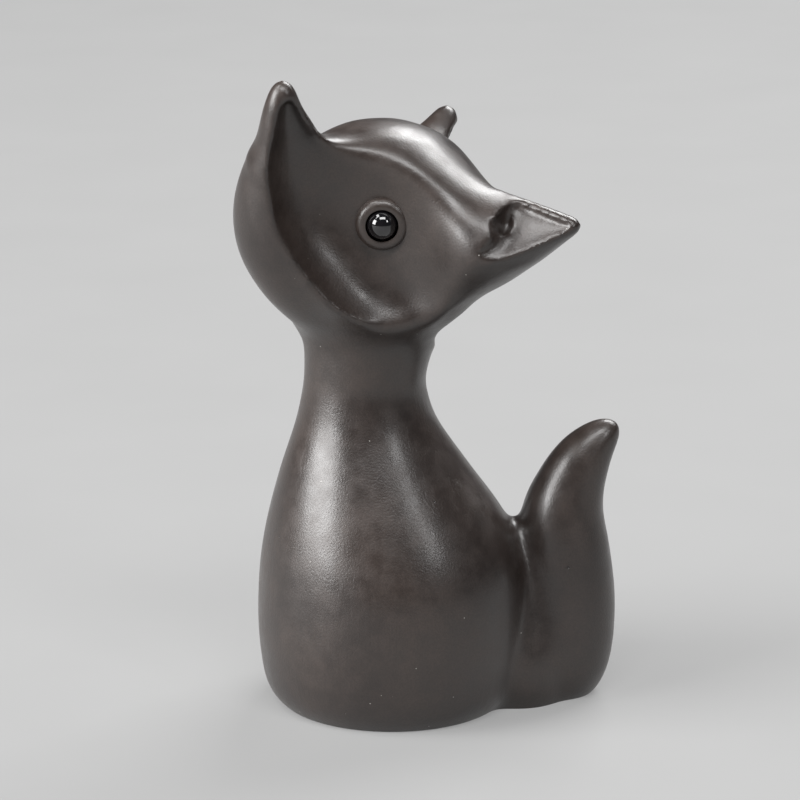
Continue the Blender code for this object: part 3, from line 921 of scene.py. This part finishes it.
# Soft boxes, all as far from the object: name, azimuth and elevation as seen from it in degrees,
# width, height, watts
LAMP_DISTANCE = 1.2
LAMPS = (
    ("low_window", -69.0, 21.0, 0.80, 0.60, 18.5),
    ("high_window", -76.0, 58.0, 0.44, 0.56, 6.5),
    ("back_window", 150.0, 42.0, 0.80, 0.44, 12.0),
    ("front_window", 6.0, 58.0, 0.80, 0.34, 8.4),
    ("right_window", 44.0, 31.0, 0.20, 0.26, 1.7),
)


def make_lamps():
    for name, azimuth, elevation, width, height, watts in LAMPS:
        light = bpy.data.lights.new(name, "AREA")
        light.shape = "RECTANGLE"
        light.size = width
        light.size_y = height
        light.energy = watts
        lamp = add_to_scene(name, light)
        turn, rise = math.radians(azimuth), math.radians(elevation)
        flat = math.cos(rise)
        way = Vector((flat * math.sin(turn), -flat * math.cos(turn), math.sin(rise)))
        lamp.location = TARGET + LAMP_DISTANCE * way
        aim(lamp)


# World: the colour and strength of its light, and the plain grey that the camera sees
SKY = (0.75, 0.80, 0.88, 1.0)
SKY_STRENGTH = 0.06
SKY_SEEN = (0.42, 0.42, 0.42, 1.0)


def make_world():
    world = bpy.data.worlds.new("studio")
    bpy.context.scene.world = world
    world.use_nodes = True
    nodes, links = world.node_tree.nodes, world.node_tree.links
    lit = nodes["Background"]
    lit.inputs["Color"].default_value = SKY
    lit.inputs["Strength"].default_value = SKY_STRENGTH
    seen = nodes.new("ShaderNodeBackground")
    seen.inputs["Color"].default_value = SKY_SEEN
    path = nodes.new("ShaderNodeLightPath")
    mix = nodes.new("ShaderNodeMixShader")
    links.new(path.outputs["Is Camera Ray"], mix.inputs[0])
    links.new(lit.outputs["Background"], mix.inputs[1])
    links.new(seen.outputs["Background"], mix.inputs[2])
    links.new(mix.outputs["Shader"], nodes["World Output"].inputs["Surface"])


# Floor: half side, the two greys of its clouds and their noise, and its glow where it is seen. It
# is darker to all other rays, so that it throws little light up at the object.
FLOOR_HALF = 3.0
FLOOR_GREYS = ((0.16, 0.16, 0.159), (0.18, 0.18, 0.179))
FLOOR_CLOUDS = (30.0, 3.0)
FLOOR_GLOW = 0.26
FLOOR_UNSEEN = (0.08, 0.08, 0.08)


def make_floor():
    mesh = bmesh.new()
    bmesh.ops.create_grid(mesh, x_segments=1, y_segments=1, size=FLOOR_HALF)
    floor = new_object("floor", mesh)
    paint = Wiring("pale_floor")
    tint = paint.mix(paint.noise(*FLOOR_CLOUDS), *FLOOR_GREYS)
    path = paint.add("ShaderNodeLightPath")
    seen = path.outputs["Is Camera Ray"]
    for ray in ("Is Glossy Ray", "Is Transmission Ray"):
        seen = paint.maths("MAXIMUM", seen, path.outputs[ray])
    paint.dress(
        {
            "Base Color": paint.mix(seen, FLOOR_UNSEEN, tint),
            "Roughness": 0.8,
            "Emission Color": (1.0, 1.0, 1.0),
            "Emission Strength": paint.maths("MULTIPLY", seen, FLOOR_GLOW),
        }
    )
    floor.data.materials.append(paint.material)


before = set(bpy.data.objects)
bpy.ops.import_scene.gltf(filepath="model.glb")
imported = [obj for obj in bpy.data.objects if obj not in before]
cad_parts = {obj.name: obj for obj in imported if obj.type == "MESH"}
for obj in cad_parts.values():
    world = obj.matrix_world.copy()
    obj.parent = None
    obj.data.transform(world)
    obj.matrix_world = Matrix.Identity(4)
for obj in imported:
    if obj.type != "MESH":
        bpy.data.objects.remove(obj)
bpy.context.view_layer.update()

skin = make_body()
shade_smooth(skin)
skin.data.materials.append(clay_material())
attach(skin, "root")
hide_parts("clay_body")

glaze = bead_material()
for side, word in ((NEAR, "near"), (FAR, "far")):
    place = eye_matrix(side, BEAD_LIFT)
    bead = ball_object(f"{word}_bead", place, (BEAD_RADIUS,) * 3, BEAD_POINTS)
    shade_smooth(bead)
    bead.data.materials.append(glaze)
    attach(bead, "root")
    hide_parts(f"{word}_eye_bead")

make_camera()
make_lamps()
make_world()
make_floor()
bpy.context.scene.view_settings.view_transform = "Standard"
